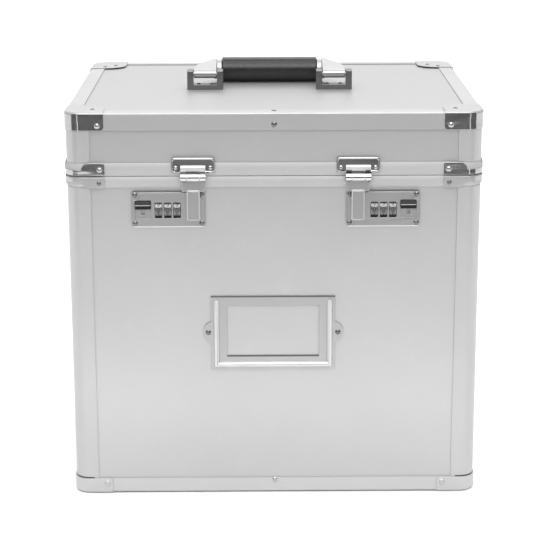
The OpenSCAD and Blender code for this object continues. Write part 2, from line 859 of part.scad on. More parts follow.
module lid_rivets() {
    edge_out = rim_proud + seat + cap_t;
    rim_out = bead_out + seat + rim_cap_t;
    cap_x = half_w - 28;
    cap_y = half_d - 28;
    top_z = case_h - top_rim_h + 4;
    cap_top = case_h + ground_gap;
    module top_rivet(x, y, z, r) {
        translate([x, y, z]) rivet(r);
    }
    color("lightgray") {
        for (s = [-1, 1]) {
            for (turn = [0, 180]) {
                wall_rivet([s * cap_x, top_z], edge_out, turn, 2.4);
                wall_rivet([s * (cap_x - 1.2), lid_low + 5.4], rim_out, turn, 2.4);
            }
            for (turn = [90, 270]) {
                wall_rivet([s * cap_y, top_z], edge_out, turn, 2.4);
                wall_rivet([s * cap_y, lid_low + 5.4], rim_out, turn, 2.4);
            }
            top_rivet(s * (half_w - 23.5), -half_d + 12, cap_top, 2.2);
            top_rivet(s * (half_w - 14), half_d - 37, cap_top, 2.2);
            top_rivet(s * (half_w - 23.5), half_d - 28, cap_top, 2.2);
            for (dx = [-1, 1])
                wall_rivet([latch_shift + s * hasp_x + dx * (keeper_w / 2 - 3.8), keeper_low + 4.2],
                    keeper_out, 0, 2);
            for (dy = [-1, 1])
                top_rivet(handle_x + s * bracket_gap / 2 + dy * 6, handle_axis_y,
                    lid_board_top + bracket_floor, 2);
        }
        wall_rivet([0, top_rim_low + 5], rim_proud, 0, 2.6);
        top_rivet(0, -half_d + 7.5, case_h, 2.6);
        for (x = hinge_xs)
            for (dx = [-1, 1])
                wall_rivet([x + dx * hinge_w / 3, lid_rim_top + 7.4], leaf_out, 180, 2.4);
    }
}

// Keeper plate on the lid, with the hasp's two outer knuckles
module keeper() {
    mid_z = (keeper_low + keeper_top) / 2;
    outer_w = (barrel_w - mid_knuckle_w) / 2 - knuckle_gap;
    module slab(inner, outer, w, h, r) {
        translate([-hasp_x, -half_d - inner, mid_z]) rotate([90, 0, 0])
            linear_extrude(outer - inner) rounded_outline(w, h, r);
    }
    h = keeper_top - keeper_low;
    color("lightgray") difference() {
        union() {
            difference() {
                slab(seat, keeper_out + keeper_bead_h, keeper_w, h, 3);
                slab(keeper_out, keeper_out + 2, keeper_w - 2 * keeper_bead, h - 2 * keeper_bead, 1.6);
            }
            front_block([-hasp_x - keeper_w / 2 + 3, -hasp_x + keeper_w / 2 - 3],
                [-flange_t, seat + 0.1], [lid_rim_top + seat, keeper_top]);
            front_block([-hasp_x - barrel_w / 2, -hasp_x + barrel_w / 2],
                [seat + 0.4, hasp_axis_out + 0.4], [keeper_low + 1.8, keeper_low + 6.2]);
            for (s = [-1, 1]) {
                mid = -hasp_x + s * (barrel_w - outer_w) / 2;
                bar_x(mid, -half_d - hasp_axis_out, hasp_axis_z, knuckle_r, outer_w, 64);
                front_block([mid - outer_w / 2, mid + outer_w / 2], [keeper_out - 0.1, hasp_axis_out + 1.6],
                    [hasp_axis_z, keeper_low + 3]);
            }
        }
        bar_x(-hasp_x, -half_d - hasp_axis_out, hasp_axis_z, knuckle_r + 0.5,
            mid_knuckle_w + 2 * knuckle_gap, 64);
        bar_x(-hasp_x, -half_d - hasp_axis_out, hasp_axis_z, latch_pin_r + fixed_clear, barrel_w + 2, 48);
    }
}

module keeper_left() { latch_side(-1) keeper(); }
module keeper_right() { latch_side(1) keeper(); }

module latch_pins() {
    color("gray") for (s = [-1, 1])
        bar_x(latch_shift + s * hasp_x, -half_d - hasp_axis_out, hasp_axis_z, latch_pin_r, barrel_w, 48);
}

// Hasp: middle knuckle, wide neck, narrow tongue and the staple behind it
module hasp() {
    edge = 1;
    color("lightgray") difference() {
        union() {
            bar_x(-hasp_x, -half_d - hasp_axis_out, hasp_axis_z, knuckle_r, mid_knuckle_w, 64);
            front_block([-hasp_x - mid_knuckle_w / 2, -hasp_x + mid_knuckle_w / 2],
                [neck_in, neck_out], [neck_low + 1, hasp_axis_z - 2]);
            front_block([-hasp_x - neck_w / 2, -hasp_x + neck_w / 2],
                [neck_in, neck_out], [neck_low, hasp_axis_z - knuckle_r - 0.5]);
            translate([-hasp_x, -half_d - tongue_in, (tongue_low + neck_low) / 2 + edge / 2])
                rotate([90, 0, 0]) {
                    linear_extrude(tongue_out - tongue_in - 0.7)
                        rounded_outline(tongue_w, neck_low - tongue_low + edge, 1.6);
                    linear_extrude(tongue_out - tongue_in)
                        rounded_outline(tongue_w - 1.6, neck_low - tongue_low + edge - 1.6, 1);
                }
            front_block([-hasp_x - staple_w / 2, -hasp_x + staple_w / 2],
                [staple_in, tongue_in + 0.5], [staple_z - staple_h / 2, staple_z + staple_h / 2]);
        }
        bar_x(-hasp_x, -half_d - hasp_axis_out, hasp_axis_z, latch_pin_r + axle_clear, barrel_w + 2, 48);
    }
}

module hasp_left() { latch_side(-1) hasp(); }
module hasp_right() { latch_side(1) hasp(); }

module lid_foam() {
    top = lid_board_top - board_t - seat;
    color("darkslategray") foam_slab(top - lid_foam_t, top);
}

// ---- Handle ----

// U-shaped bracket with its pin hole, drawn about the handle's middle plane
module handle_bracket() {
    slot_w = bracket_w - 2 * bracket_leg;
    // Side outline of the legs, with rounded upper corners
    module leg_outline() {
        intersection() {
            rounded_outline(bracket_d, 2 * bracket_h, 1.2);
            translate([-bracket_d / 2, 0]) square([bracket_d, bracket_h]);
        }
    }
    color("gray") translate([-bracket_gap / 2, handle_axis_y, lid_board_top]) difference() {
        translate([-bracket_w / 2, 0, 0]) rotate([90, 0, 90]) linear_extrude(bracket_w) leg_outline();
        block([-slot_w / 2, -bracket_d, bracket_floor], [slot_w / 2, bracket_d, bracket_h + 1]);
        bar_x(0, 0, handle_axis_h, handle_pin_r + fixed_clear, bracket_w + 2, 48);
    }
}

module handle_bracket_left() { translate([handle_x, 0, 0]) side(-1) handle_bracket(); }
module handle_bracket_right() { translate([handle_x, 0, 0]) side(1) handle_bracket(); }

module handle_pins() {
    color("silver") for (s = [-1, 1])
        bar_x(handle_x + s * bracket_gap / 2, handle_axis_y, handle_axis_z, handle_pin_r,
            bracket_w - 0.4, 48);
}

// Arm: barrel, tapering top plate that climbs to the grip, cheek and ferrule
module handle_arm() {
    inner_x = -grip_l / 2 - ferrule_w;
    barrel_x = -bracket_gap / 2;
    outer_x = barrel_x - arm_w / 2;
    leg_clear_x = barrel_x + arm_w / 2 - 0.2;
    cheek_t = 3;
    cheek_x = inner_x - arm_side_gap - cheek_t;
    span = grip_y - handle_axis_y;
    module sloped(low, high) {
        translate([0, handle_axis_y, handle_axis_z]) rotate([arm_slope, 0, 0])
            translate([0, 0, low]) linear_extrude(high - low) children();
    }
    color("lightgray") difference() {
        union() {
            bar_x(barrel_x, handle_axis_y, handle_axis_z, arm_barrel_r, arm_w, 64);
            sloped(arm_barrel_r - arm_plate_t, arm_barrel_r)
                polygon([[outer_x, 0], [leg_clear_x, 0], [leg_clear_x, 9], [cheek_x + cheek_t, 12],
                    [cheek_x + cheek_t, span], [cheek_x - 0.2, span], [outer_x + 3.6, 21.5],
                    [outer_x, 13]]);
            sloped(-3, arm_barrel_r)
                polygon([[cheek_x, 12], [cheek_x + cheek_t, 12], [cheek_x + cheek_t, span], [cheek_x, span]]);
            bar_x(cheek_x + cheek_t / 2, grip_y, grip_z, ferrule_r - 1, cheek_t, 64);
            bar_x(inner_x - arm_side_gap + ferrule_w / 2 - seat, grip_y, grip_z, ferrule_r,
                ferrule_w + arm_side_gap - seat, 64);
        }
        bar_x(barrel_x, handle_axis_y, handle_axis_z, handle_pin_r + axle_clear, arm_w + 2, 48);
        bar_x(inner_x + 3, grip_y, grip_z, 3 + fixed_clear, ferrule_w + 8, 48);
    }
}

module handle_arm_left() { translate([handle_x, 0, 0]) side(-1) handle_arm(); }
module handle_arm_right() { translate([handle_x, 0, 0]) side(1) handle_arm(); }

module handle_core() {
    color("silver") bar_x(handle_x, grip_y, grip_z, 3, grip_l + 2 * ferrule_w - 1, 48);
}

module handle_grip() {
    end_r = 1;
    color("black") difference() {
        translate([handle_x - grip_l / 2, grip_y, grip_z]) rotate([0, 90, 0]) rotate_extrude($fn = 72)
            union() {
                translate([0, end_r]) square([grip_r, grip_l - 2 * end_r]);
                square([grip_r - end_r, grip_l]);
                for (z = [end_r, grip_l - end_r])
                    translate([grip_r - end_r, z]) circle(r = end_r, $fn = 32);
            }
        bar_x(handle_x, grip_y, grip_z, 3 + fixed_clear, grip_l + 2, 48);
    }
}

module dial_left_1() { latch_side(-1) dial(1); }
module dial_left_2() { latch_side(-1) dial(2); }
module dial_left_3() { latch_side(-1) dial(3); }
module dial_right_1() { latch_side(1) dial(1); }
module dial_right_2() { latch_side(1) dial(2); }
module dial_right_3() { latch_side(1) dial(3); }

front_panel();
back_panel();
left_panel();
right_panel();
bottom_panel();
corner_posts();
bottom_rim();
body_rim();
bottom_corner_caps();
body_rim_caps();
body_rivets();
label_holder();
lock_plate_left();
lock_plate_right();
lock_case_left();
lock_case_right();
dial_axle_left();
dial_axle_right();
button_spring_left();
button_spring_right();
hinge_leaf_lower();
hinge_pins();
foam_floor_pad();
foam_insert();
dial_left_1();
dial_left_2();
dial_left_3();
dial_right_1();
dial_right_2();
dial_right_3();
release_button_left();
release_button_right();
lid_top_panel();
lid_front_panel();
lid_back_panel();
lid_left_panel();
lid_right_panel();
lid_corner_posts();
lid_top_rim();
lid_lower_rim();
lid_corner_caps();
lid_rim_caps();
lid_rivets();
keeper_left();
keeper_right();
latch_pins();
hasp_left();
hasp_right();
handle_bracket_left();
handle_bracket_right();
handle_pins();
hinge_leaf_upper();
lid_foam();
handle_arm_left();
handle_arm_right();
handle_core();
handle_grip();
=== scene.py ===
"""Looks of the drone carrying case: materials, foam, dial numbers, floor, lights and camera."""

import json
import math

import bmesh
import bpy
from mathutils import Matrix, Vector

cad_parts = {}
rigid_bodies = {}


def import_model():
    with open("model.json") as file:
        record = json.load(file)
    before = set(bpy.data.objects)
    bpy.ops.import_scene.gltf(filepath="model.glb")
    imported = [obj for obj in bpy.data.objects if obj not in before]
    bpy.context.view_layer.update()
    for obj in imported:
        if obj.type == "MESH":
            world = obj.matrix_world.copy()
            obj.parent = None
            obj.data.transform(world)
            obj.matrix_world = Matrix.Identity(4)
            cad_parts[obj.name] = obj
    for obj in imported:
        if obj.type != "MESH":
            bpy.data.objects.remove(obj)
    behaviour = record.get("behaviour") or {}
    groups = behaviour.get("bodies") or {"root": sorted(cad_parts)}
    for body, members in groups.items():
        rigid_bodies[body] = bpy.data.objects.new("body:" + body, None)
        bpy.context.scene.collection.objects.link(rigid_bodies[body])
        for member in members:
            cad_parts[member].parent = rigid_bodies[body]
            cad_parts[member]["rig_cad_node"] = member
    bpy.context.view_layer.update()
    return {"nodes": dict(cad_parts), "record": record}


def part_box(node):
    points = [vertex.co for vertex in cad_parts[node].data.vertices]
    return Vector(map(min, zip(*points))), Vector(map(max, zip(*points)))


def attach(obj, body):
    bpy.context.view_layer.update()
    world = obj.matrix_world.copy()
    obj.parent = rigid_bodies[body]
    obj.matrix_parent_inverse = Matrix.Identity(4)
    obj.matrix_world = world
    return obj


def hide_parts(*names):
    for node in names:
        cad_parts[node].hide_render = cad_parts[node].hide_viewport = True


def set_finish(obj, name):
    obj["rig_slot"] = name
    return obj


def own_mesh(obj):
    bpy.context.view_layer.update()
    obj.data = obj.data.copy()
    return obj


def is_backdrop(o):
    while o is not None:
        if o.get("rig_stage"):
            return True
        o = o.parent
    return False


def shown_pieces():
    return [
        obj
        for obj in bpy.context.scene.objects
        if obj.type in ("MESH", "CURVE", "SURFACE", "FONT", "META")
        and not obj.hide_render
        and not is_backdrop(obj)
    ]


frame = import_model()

NODES = frame["nodes"]
SIDES = ("left", "right")

# Places in the shared frame, in metres, where one CAD part changes its material or its tone
FRONT_Y = -0.14  # hardware on the front wall lies before this
FOOT_Z = 0.02  # rivets of the bottom frame lie below this
FOOT_CAP_RIVET_X = 0.1  # rivets of the bottom corner caps lie beyond this
BOTTOM_RIM_TOP_Z = 0.0145
CAP_GAP_SHADE_Z = (0.0135, 0.0151)  # painted shade in the gap above the bottom corner caps
CAP_GAP_SHADE_X = 0.1605  # and where it begins, left and right
LID_CAP_TOP_Z = 0.3418  # top faces of the lid's corner caps
LID_TOP_RIVET_Z = 0.3432  # rivets on the lid's top
MIDDLE_RIVET_X = 0.02  # the rivet in the middle of a rim lies within this
KEEPER_BORDER_Y = -0.15035  # face of a keeper's raised border
KEEPER_NECK_Y = -0.1512  # shelf and straps of a keeper lie before this
KEEPER_SHELF_Z = (0.2931, 0.2977)
KEEPER_SHELF_EDGE_Z = 0.2972  # the shelf's upper edges lie above this
KEEPER_SHADE_Z = (0.2914, 0.293)  # shade under the shelf
HASP_KNUCKLE_Z = 0.2842  # foot of a hasp's knuckle
PLATE_RIVET_Y = -0.1482  # rivet heads of a lock plate lie before this
PLATE_TOP_SHADE_Z = (0.2748, 0.28)
PLATE_FOOT_HIGHLIGHT_Z = (0.24, 0.2443)
BUTTON_FACE_Y = -0.1468  # hidden part of a release button lies behind this
BUTTON_RIDGE_HIGHLIGHT_Z = (0.2632, 0.26335)
LIP_Y = -0.14796  # rolled lips of the label holder lie before this
WINDOW_SLOT_Z = (0.1271, 0.1282)
WINDOW_SLOT_X = (-0.0413, 0.0387)
HOLDER_TOP_SHADE_Z = (0.181, 0.19)
DIAL_R = 0.0085


# ---------------------------------------------------------------- shader helpers


class Shader:
    """A Principled material, and short ways to add the nodes that give it detail."""

    def __init__(self, name, rough, metallic=0.0):
        self.mat = bpy.data.materials.new(name)
        self.mat.use_nodes = True
        self.tree = self.mat.node_tree
        self.bsdf = self.tree.nodes["Principled BSDF"]
        self.bsdf.inputs["Roughness"].default_value = rough
        self.bsdf.inputs["Metallic"].default_value = metallic
        self.coord = self.tree.nodes.new("ShaderNodeTexCoord").outputs["Object"]
        self.normal = None

    def new(self, kind, **inputs):
        made = self.tree.nodes.new(kind)
        for key, value in inputs.items():
            self.feed(made.inputs[key.replace("_", " ")], value)
        return made

    def feed(self, socket, value):
        if isinstance(value, bpy.types.NodeSocket):
            self.tree.links.new(value, socket)
        else:
            socket.default_value = value

    def set(self, key, value):
        self.feed(self.bsdf.inputs[key], value)

    def scaled(self, scale):
        node = self.new("ShaderNodeMapping", Vector=self.coord)
        node.inputs["Scale"].default_value = scale
        return node.outputs["Vector"]

    def noise(self, scale, detail=3.0, rough=0.5, stretch=(1, 1, 1)):
        node = self.new("ShaderNodeTexNoise", Vector=self.scaled(stretch), Scale=scale)
        node.inputs["Detail"].default_value = detail
        node.inputs["Roughness"].default_value = rough
        return node.outputs["Fac"]

    def cells(self, scale, feature="F1"):
        node = self.new("ShaderNodeTexVoronoi", Vector=self.coord, Scale=scale)
        node.feature = feature
        return node.outputs["Distance"]

    def span(self, value, low, high, to_low, to_high):
        node = self.new("ShaderNodeMapRange")
        keys = ("Value", "From Min", "From Max", "To Min", "To Max")
        for key, x in zip(keys, (value, low, high, to_low, to_high)):
            self.feed(node.inputs[key], x)
        return node.outputs["Result"]

    def math(self, operation, a, b=0.0):
        node = self.tree.nodes.new("ShaderNodeMath")
        node.operation = operation
        self.feed(node.inputs[0], a)
        self.feed(node.inputs[1], b)
        return node.outputs[0]

    def mix(self, factor, a, b):
        node = self.tree.nodes.new("ShaderNodeMix")
        node.data_type = "RGBA"
        self.feed(node.inputs[0], factor)
        self.feed(node.inputs[6], a)
        self.feed(node.inputs[7], b)
        return node.outputs[2]

    def axis(self, name):
        return self.new("ShaderNodeSeparateXYZ", Vector=self.coord).outputs[name]

    def band(self, axis, ends, soft):
        """1 between two places on an axis of the shared frame, with soft edges."""
        (low, high), value = ends, self.axis(axis)
        rise = self.span(value, low - soft, low, 0, 1)
        return self.math("MULTIPLY", rise, self.span(value, high, high + soft, 1, 0))

    def tint(self, mask, colour, strength=1):
        """Blends a colour over the base colour where the mask is 1."""
        under = self.bsdf.inputs["Base Color"].links[0].from_socket
        if strength != 1:
            mask = self.math("MULTIPLY", mask, strength)
        self.set("Base Color", self.mix(mask, under, colour))

    def bump(self, height, strength, distance):
        node = self.new("ShaderNodeBump", Height=height, Strength=strength, Distance=distance)
        if self.normal is not None:
            self.tree.links.new(self.normal, node.inputs["Normal"])
        self.normal = node.outputs["Normal"]
        self.set("Normal", self.normal)


def grey(value, warm=0.0):
    return (value * (1 + warm), value, value * (1 - warm), 1)


def metal(name, tone, rough, metallic=1.0, brush=(1, 1, 1), spread=0.05, blotch=0.04):
    """Metal with brush marks, cloudy tone changes and faint rubbed patches."""
    s = Shader(name, rough, metallic)
    marks = s.noise(2600, 2, 0.6, brush)
    cloud = s.noise(14, 3)
    rubbed = s.span(s.noise(55, 5, 0.7), 0.58, 0.72, 0, 1)
    base = s.mix(s.span(cloud, 0.35, 0.65, 0, 1), grey(tone * (1 - blotch)), grey(tone))
    s.set("Base Color", s.mix(s.math("MULTIPLY", rubbed, 0.35), base, grey(min(1, tone * 1.08))))
    varied = s.span(marks, 0.3, 0.7, rough - spread, rough + spread)
    s.set("Roughness", s.math("ADD", varied, s.math("MULTIPLY", rubbed, -0.03)))
    s.bump(marks, 0.35, 0.000004)
    return s


def facing(mesh_object, test):
    """Faces of a CAD object whose centre and normal, in the shared frame, pass the test."""
    turn = mesh_object.matrix_world
    for face in mesh_object.data.polygons:
        if test(turn @ face.center, turn.to_3x3() @ face.normal):
            yield face


def paint_part(names, material, test):
    """Gives the faces of some nodes that pass the test a material of their own."""
    for name in names:
        mesh = NODES[name].data
        mesh.materials.append(material)
        for face in facing(NODES[name], test):
            face.material_index = len(mesh.materials) - 1


def paint(names, material):
    for name in names:
        mesh = NODES[name].data
        mesh.materials.clear()
        mesh.materials.append(material)


def both(*stems):
    """The left and the right node of each name."""
    return [f"{stem}_{side}" for stem in stems for side in SIDES]


def placed(name, data):
    obj = bpy.data.objects.new(name, data)
    bpy.context.scene.collection.objects.link(obj)
    return obj


def mesh_from(bm, name):
    mesh = bpy.data.meshes.new(name)
    bm.to_mesh(mesh)
    bm.free()
    return mesh


# ---------------------------------------------------------------- materials

panel = metal("satin_panel", 0.485, 0.37, 0.6, brush=(0.12, 0.12, 1), spread=0.04, blotch=0.02)
panel.bump(panel.cells(1500), 0.12, 0.00002)
panel.bump(panel.noise(6, 1), 0.25, 0.0006)

lid_skin = metal("satin_lid_panel", 0.385, 0.42, 0.4, brush=(0.12, 1, 1), spread=0.04, blotch=0.02)
lid_skin.bump(lid_skin.cells(1500), 0.12, 0.00002)
lid_skin.bump(lid_skin.noise(5, 1), 0.25, 0.0006)

extrusion = metal("anodised_extrusion", 0.48, 0.38, 0.5, brush=(1, 1, 0.02), spread=0.04)
rim = metal("anodised_rim", 0.44, 0.55, 0.3, brush=(0.03, 0.03, 1), spread=0.04)
rim.set("Specular IOR Level", 0.2)
# Painted light: the bottom rim is made lighter below BOTTOM_RIM_TOP_Z, at the foot of the case
rim.tint(rim.band("Z", (-1, BOTTOM_RIM_TOP_Z), 0.001), grey(0.58), 0.6)
# Painted shade: a dark line on the corner posts, in the gap above the bottom corner caps
beyond_caps = extrusion.math("GREATER_THAN", extrusion.math("ABSOLUTE", extrusion.axis("X")), CAP_GAP_SHADE_X)
cap_gap_shade = extrusion.math("MULTIPLY", extrusion.band("Z", CAP_GAP_SHADE_Z, 0.0003), beyond_caps)
extrusion.tint(cap_gap_shade, grey(0.02), 0.92)
top_rim = metal("anodised_top_rim", 0.46, 0.42, 0.6, brush=(0.03, 0.03, 1), spread=0.04)
top_rim.set("Specular IOR Level", 0.2)
cap = metal("polished_cap", 0.52, 0.14, 1.0, spread=0.04, blotch=0.06)
cap.bump(cap.noise(110, 1, 0.5, (0.25, 0.25, 1)), 0.6, 0.001)
satin_cap = metal("satin_cap", 0.52, 0.34, 0.8, spread=0.04, blotch=0.05)
satin_cap.bump(satin_cap.noise(60, 1), 0.3, 0.0006)
top_cap = metal("satin_top_cap", 0.42, 0.42, 0.6, spread=0.04, blotch=0.04)
top_cap.bump(top_cap.noise(60, 1), 0.3, 0.0006)
rivet = metal("polished_rivet", 0.46, 0.16, 1.0, spread=0.06)
# Painted shade: a darker copy of the rivet metal, for the rivets that show dark
dull_rivet = metal("dull_rivet", 0.19, 0.22, 0.95, spread=0.06)
foot_rivet = metal("foot_rivet", 0.5, 0.4, 0.7, spread=0.06)
plate = metal("satin_nickel", 0.39, 0.36, 0.85, brush=(0.1, 1, 1), spread=0.06)
hasp_metal = metal("hasp_nickel", 0.40, 0.36, 0.85, brush=(0.1, 1, 1), spread=0.05)
# Painted light: a lighter copy of the nickel for the keeper's shelf, where it catches the light
lit_shelf_metal = metal("keeper_shelf_nickel", 0.72, 0.5, 0.9, spread=0.05)
# Painted light: a lighter copy of the holder's metal for its rolled lips
lit_lip = metal("rolled_lip", 0.62, 0.4, 0.9, spread=0.05)
# Painted highlight: a light metal for the bevelled edges of hasps and hinge leaves
worn_edge = metal("worn_edge", 0.85, 0.5, 1.0, spread=0.05)
bright = metal("bright_nickel", 0.60, 0.07, 1.0, spread=0.03)
# Painted shade: both nickels darken under the keeper's shelf, on the straps before its neck
for nickel in (bright, lit_shelf_metal):
    neck = nickel.band("Y", (-1, KEEPER_NECK_Y - 0.0001), 0.0001)
    nickel.tint(nickel.math("MULTIPLY", nickel.band("Z", KEEPER_SHADE_Z, 0.0003), neck), grey(0.06), 0.85)
holder = metal("label_frame_nickel", 0.42, 0.34, 0.8, brush=(0.1, 1, 1), spread=0.05)
# Painted shade: a dark line in the slot under the label window and along the holder's top edge
slot = holder.band("Z", WINDOW_SLOT_Z, 0.0002)
slot = holder.math("MULTIPLY", slot, holder.band("X", WINDOW_SLOT_X, 0.0002))
holder.tint(holder.math("MAXIMUM", slot, holder.band("Z", HOLDER_TOP_SHADE_Z, 0.0003)), grey(0.05), 0.8)
# Painted shade along the lock plate's top edge, and a painted highlight along its lower edge
plate.tint(plate.band("Z", PLATE_TOP_SHADE_Z, 0.0004), grey(0.06), 0.75)
plate.tint(plate.band("Z", PLATE_FOOT_HIGHLIGHT_Z, 0.0003), grey(0.9))
bracket = metal("bracket_nickel", 0.20, 0.3, 1.0, spread=0.04)
arm = metal("arm_nickel", 0.40, 0.36, 1.0, spread=0.05)
zinc = metal("zinc_sheet", 0.42, 0.45, 0.9, spread=0.08, blotch=0.2)
dial_metal = metal("dial_metal", 0.21, 0.38, 1.0, brush=(1, 0.1, 0.1), spread=0.06)

button = Shader("black_button", 0.24)
button.set("Specular IOR Level", 0.15)
button.set("Base Color", button.mix(button.noise(300, 2), grey(0.006), grey(0.012)))
button.set("Roughness", button.span(button.noise(500, 3), 0.3, 0.7, 0.14, 0.24))
# Painted highlight: a light band along the button's ridge
button.tint(button.band("Z", BUTTON_RIDGE_HIGHLIGHT_Z, 0.00025), grey(0.6))
button.bump(button.noise(350, 2), 0.1, 0.0001)

grip = Shader("black_grip", 0.36)
grip.set("Base Color", grip.mix(grip.noise(160, 4), grey(0.008), grey(0.018)))
grip.set("Roughness", grip.span(grip.noise(260, 3), 0.3, 0.7, 0.26, 0.4))
grip.bump(grip.cells(1100), 0.25, 0.0002)

felt = Shader("grey_lining", 0.95)
felt.set("Base Color", felt.mix(felt.noise(700, 4), grey(0.05), grey(0.11)))
felt.set("Sheen Weight", 0.4)
felt.bump(felt.noise(1600, 4), 0.5, 0.0004)

foam = Shader("charcoal_foam", 0.96)
# Painted shade: the pores are darker in colour, and the bump also sinks them
pore_shade_and_pits = foam.span(foam.cells(620), 0.05, 0.5, 0, 1)
tint = foam.mix(foam.noise(25, 3), grey(0.028, -0.04), grey(0.05, -0.04))
foam.set("Base Color", foam.mix(pore_shade_and_pits, grey(0.012), tint))
foam.set("Sheen Weight", 0.25)
foam.bump(pore_shade_and_pits, 0.6, 0.0006)
foam.bump(foam.noise(900, 3), 0.4, 0.0004)

ink = Shader("dial_ink", 0.5)
ink.set("Base Color", ink.mix(ink.noise(800, 2), grey(0.01), grey(0.03)))

# ---------------------------------------------------------------- materials on the CAD parts

PANELS = [n for n in NODES if n.endswith("panel")]
DIALS = [(side, n) for side in SIDES for n in (1, 2, 3)]
paint(PANELS, panel.mat)
paint(["lid_top_panel"], lid_skin.mat)
paint(["corner_posts", "lid_corner_posts"], extrusion.mat)
paint(["bottom_rim", "body_rim", "lid_lower_rim"], rim.mat)
paint(["lid_top_rim"], top_rim.mat)
paint(["lid_corner_caps", "lid_rim_caps"], cap.mat)
paint(["bottom_corner_caps", "body_rim_caps"], satin_cap.mat)
paint(["body_rivets", "lid_rivets"], rivet.mat)
paint(both("lock_plate"), plate.mat)
paint(["label_holder", "hinge_leaf_lower", "hinge_leaf_upper"], holder.mat)
paint(both("lock_case"), zinc.mat)
paint(both("handle_bracket"), bracket.mat)
paint(both("keeper", "dial_axle", "button_spring"), bright.mat)
paint(["latch_pins", "hinge_pins", "handle_pins", "handle_core"], bright.mat)
paint(both("hasp"), hasp_metal.mat)
paint(both("handle_arm"), arm.mat)
paint([f"dial_{side}_{n}" for side, n in DIALS], dial_metal.mat)
paint(both("release_button"), button.mat)
paint(["handle_grip"], grip.mat)


def on_front(c):
    return c.y < FRONT_Y


# Rivets high on the front and on the lid's top get the darker copy, painted shade
paint_part(["body_rivets"], dull_rivet.mat, lambda c, n: on_front(c) and c.z > FOOT_Z)
paint_part(
    ["body_rivets"], foot_rivet.mat, lambda c, n: on_front(c) and c.z < FOOT_Z and abs(c.x) > FOOT_CAP_RIVET_X
)
paint_part(
    ["lid_rivets"],
    dull_rivet.mat,
    lambda c, n: c.z > LID_TOP_RIVET_Z or (on_front(c) and abs(c.x) < MIDDLE_RIVET_X),
)
paint_part(both("release_button"), plate.mat, lambda c, n: c.y > BUTTON_FACE_Y)
paint_part(both("hasp"), bright.mat, lambda c, n: c.z > HASP_KNUCKLE_Z)
# The slanted facets of the domed rivet heads on the lock plates, darkened as painted shade
paint_part(both("lock_plate"), dull_rivet.mat, lambda c, n: c.y < PLATE_RIVET_Y and -0.999 < n.y < -0.3)
# The keeper's shelf gets the lighter nickel, a painted highlight
paint_part(
    both("keeper"),
    lit_shelf_metal.mat,
    lambda c, n: c.y < KEEPER_NECK_Y and KEEPER_SHELF_Z[0] < c.z < KEEPER_SHELF_Z[1],
)
paint_part(["lid_corner_caps"], top_cap.mat, lambda c, n: c.z > LID_CAP_TOP_Z)
# The rolled lips get the lighter metal, a painted highlight
paint_part(["label_holder"], lit_lip.mat, lambda c, n: c.y < LIP_Y)


# ---------------------------------------------------------------- rounded metal edges


def merge_flats(obj):
    """Joins the doubled points and the coplanar triangles, so that a bevel can run along whole edges."""
    weld = obj.modifiers.new("weld", "WELD")
    weld.merge_threshold = 1e-6
    flats = obj.modifiers.new("flats", "DECIMATE")
    flats.decimate_type, flats.angle_limit = "DISSOLVE", math.radians(0.5)


def shade_by_area(obj):
    """Large faces keep their own normals, small rounded ones blend between them, the rest stays sharp."""
    split = obj.modifiers.new("sharp", "EDGE_SPLIT")
    split.split_angle, split.use_edge_sharp = math.radians(50), False
    shading = obj.modifiers.new("shading", "WEIGHTED_NORMAL")
    shading.weight, shading.keep_sharp = 90, False


def roll_border(keeper, front, width):
    """Rounds only the raised border of a keeper plate, whose face lies at y = front."""
    turn, mesh = keeper.matrix_world, keeper.data
    spot = [tuple(round(c, 6) for c in turn @ v.co) for v in mesh.vertices]
    sides = {}
    for face in mesh.polygons:
        for a, b in face.edge_keys:
            sides.setdefault(tuple(sorted((spot[a], spot[b]))), []).append(face.normal)
    weight = mesh.attributes.new("bevel_weight_edge", "FLOAT", "EDGE")
    shelf = mesh.attributes.new("shelf_edge", "FLOAT", "EDGE")
    for edge in mesh.edges:
        a, b = (spot[v] for v in edge.vertices)
        normals = sides.get(tuple(sorted((a, b))), [])
        sharp = len(normals) == 2 and normals[0].dot(normals[1]) < 0.8
        if sharp and all(abs(end[1] - front) < 1e-5 for end in (a, b)):
            weight.data[edge.index].value = 1
        if sharp and all(end[1] < front - 0.001 and end[2] > KEEPER_SHELF_EDGE_Z for end in (a, b)):
            shelf.data[edge.index].value = 1
    merge_flats(keeper)
    for name, size in (("bevel_weight_edge", width), ("shelf_edge", 0.0015)):
        bevel = keeper.modifiers.new(name, "BEVEL")
        bevel.width, bevel.segments, bevel.limit_method, bevel.edge_weight = size, 4, "WEIGHT", name
        bevel.use_clamp_overlap = False
    shade_by_area(keeper)


def round_edges(names, width, segments=2, edge_highlight=False):
    """Breaks the sharp edges of pressed or milled metal, so that they catch the light; on request their bevel
    faces get a light metal as a painted highlight.
    """
    for name in names:
        merge_flats(NODES[name])
        bevel = NODES[name].modifiers.new("edges", "BEVEL")
        bevel.width, bevel.segments = width, segments
        bevel.limit_method, bevel.angle_limit = "ANGLE", math.radians(35)
        if edge_highlight:
            NODES[name].data.materials.append(worn_edge.mat)
            bevel.material = len(NODES[name].data.materials) - 1
        bevel.use_clamp_overlap = False
        shade_by_area(NODES[name])


round_edges(both("lock_plate"), 0.00025)
round_edges(both("release_button"), 0.0002)
for keeper_name in both("keeper"):
    roll_border(NODES[keeper_name], KEEPER_BORDER_Y, 0.0007)
round_edges(both("hasp"), 0.0002, edge_highlight=True)
round_edges(both("handle_bracket", "handle_arm"), 0.0004, 3)
round_edges(["hinge_leaf_lower", "hinge_leaf_upper"], 0.0003, edge_highlight=True)
round_edges(["label_holder"], 0.0002)
round_edges([n for n in NODES if n.endswith("_caps")], 0.0003)


